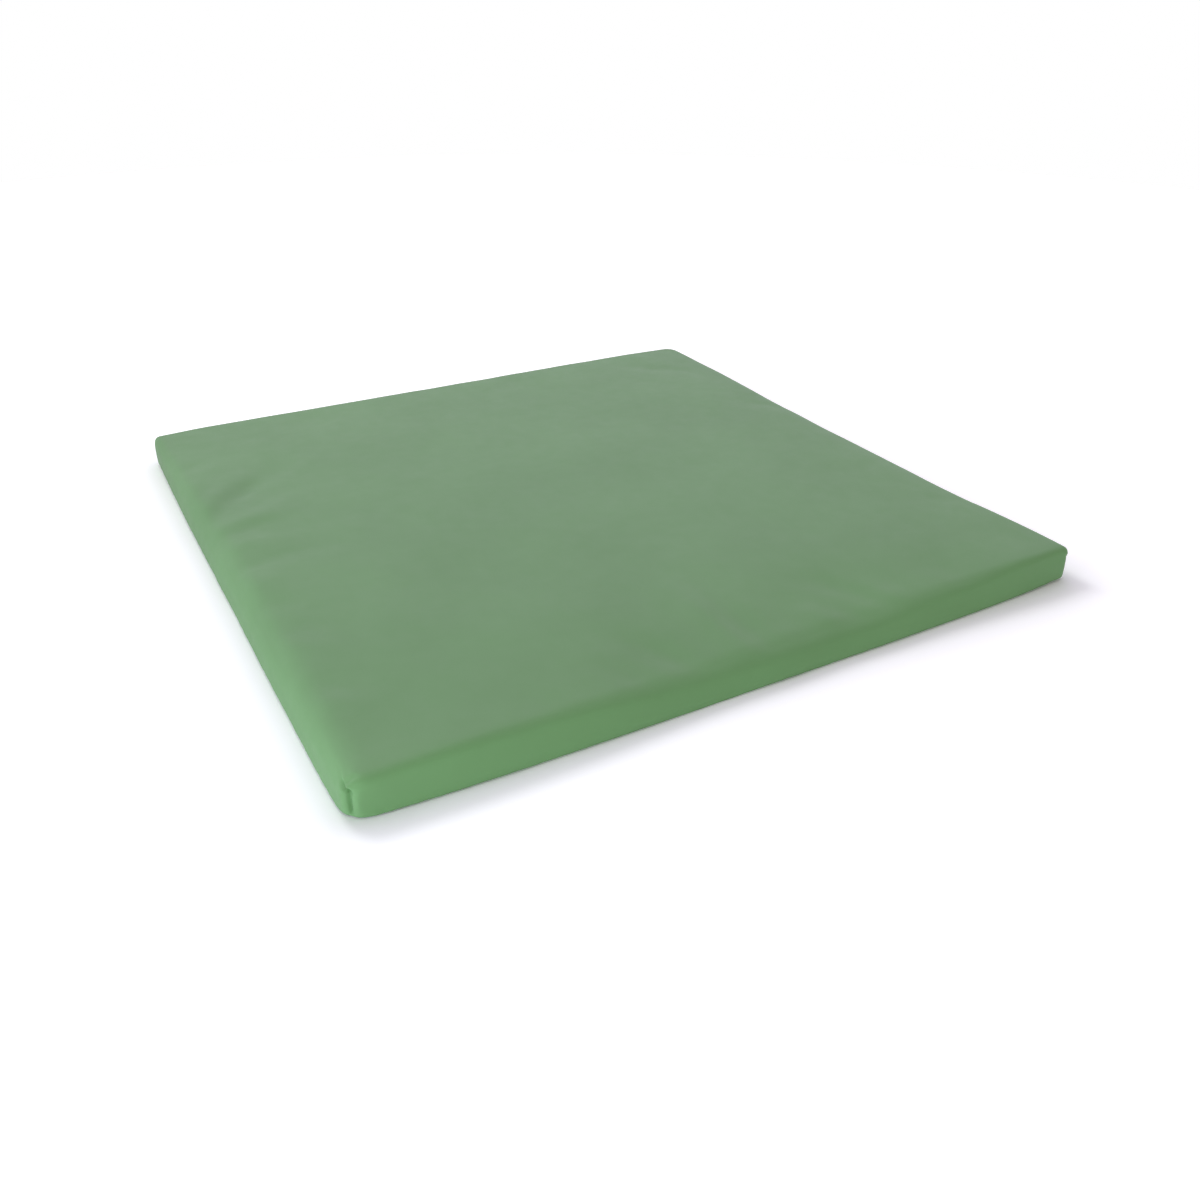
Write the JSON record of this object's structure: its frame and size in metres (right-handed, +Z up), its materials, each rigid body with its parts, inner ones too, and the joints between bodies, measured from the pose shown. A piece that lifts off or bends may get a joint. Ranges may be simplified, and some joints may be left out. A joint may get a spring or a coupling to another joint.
{
  "type": "landing mat",
  "caption": "Thin square gym landing mat: a foam block in a soft leathercloth cover with rounded edges, sewn corners and a zip along the back wall.",
  "frame": {"origin": "centre of the underside, on the floor", "axes": "+Z up; the front wall faces -Y, the left wall -X, the right wall +X and the back wall, with the zip, +Y"},
  "size_m": [1, 1.005, 0.05],
  "materials": {
    "cover": "satin",
    "foam": "matte",
    "thread": "satin",
    "zip_tape": "matte",
    "zip_coil": "satin",
    "zip_metal": "satin"
  },
  "bodies": {
    "mat": {"foam_core": "foam", "cover_top_sheet": "cover", "cover_base_panel": "cover", "back_wall_lower_strip": "cover", "zip_end_patch_left": "cover", "zip_end_patch_right": "cover", "base_seam_thread": "thread", "corner_seam_thread_front_left": "thread", "corner_seam_thread_front_right": "thread", "corner_seam_thread_back_right": "thread", "corner_seam_thread_back_left": "thread", "zip_stitch_upper": "thread", "zip_stitch_lower": "thread", "zip_tape_upper": "zip_tape", "zip_tape_lower": "zip_tape", "zip_coil_upper": "zip_coil", "zip_coil_lower": "zip_coil", "zip_top_stops": "zip_metal", "zip_bottom_stop": "zip_metal"},
    "zip_slider": {"zip_slider_body": "zip_metal"},
    "pull_tab": {"zip_pull_tab": "zip_metal"}
  },
  "joints": [
    {"name": "zip_slide", "type": "slide", "parent": "mat", "child": "zip_slider", "axis": [1, 0, 0], "range_m": [0, 0.877], "deforming": ["zip_coil_upper", "zip_coil_lower"]},
    {"name": "tab_hinge", "type": "hinge", "parent": "zip_slider", "child": "pull_tab", "pos_m": [-0.4385, 0.50265, 0.025], "axis": [0, 0, 1], "range_deg": [0, 180]}
  ]
}
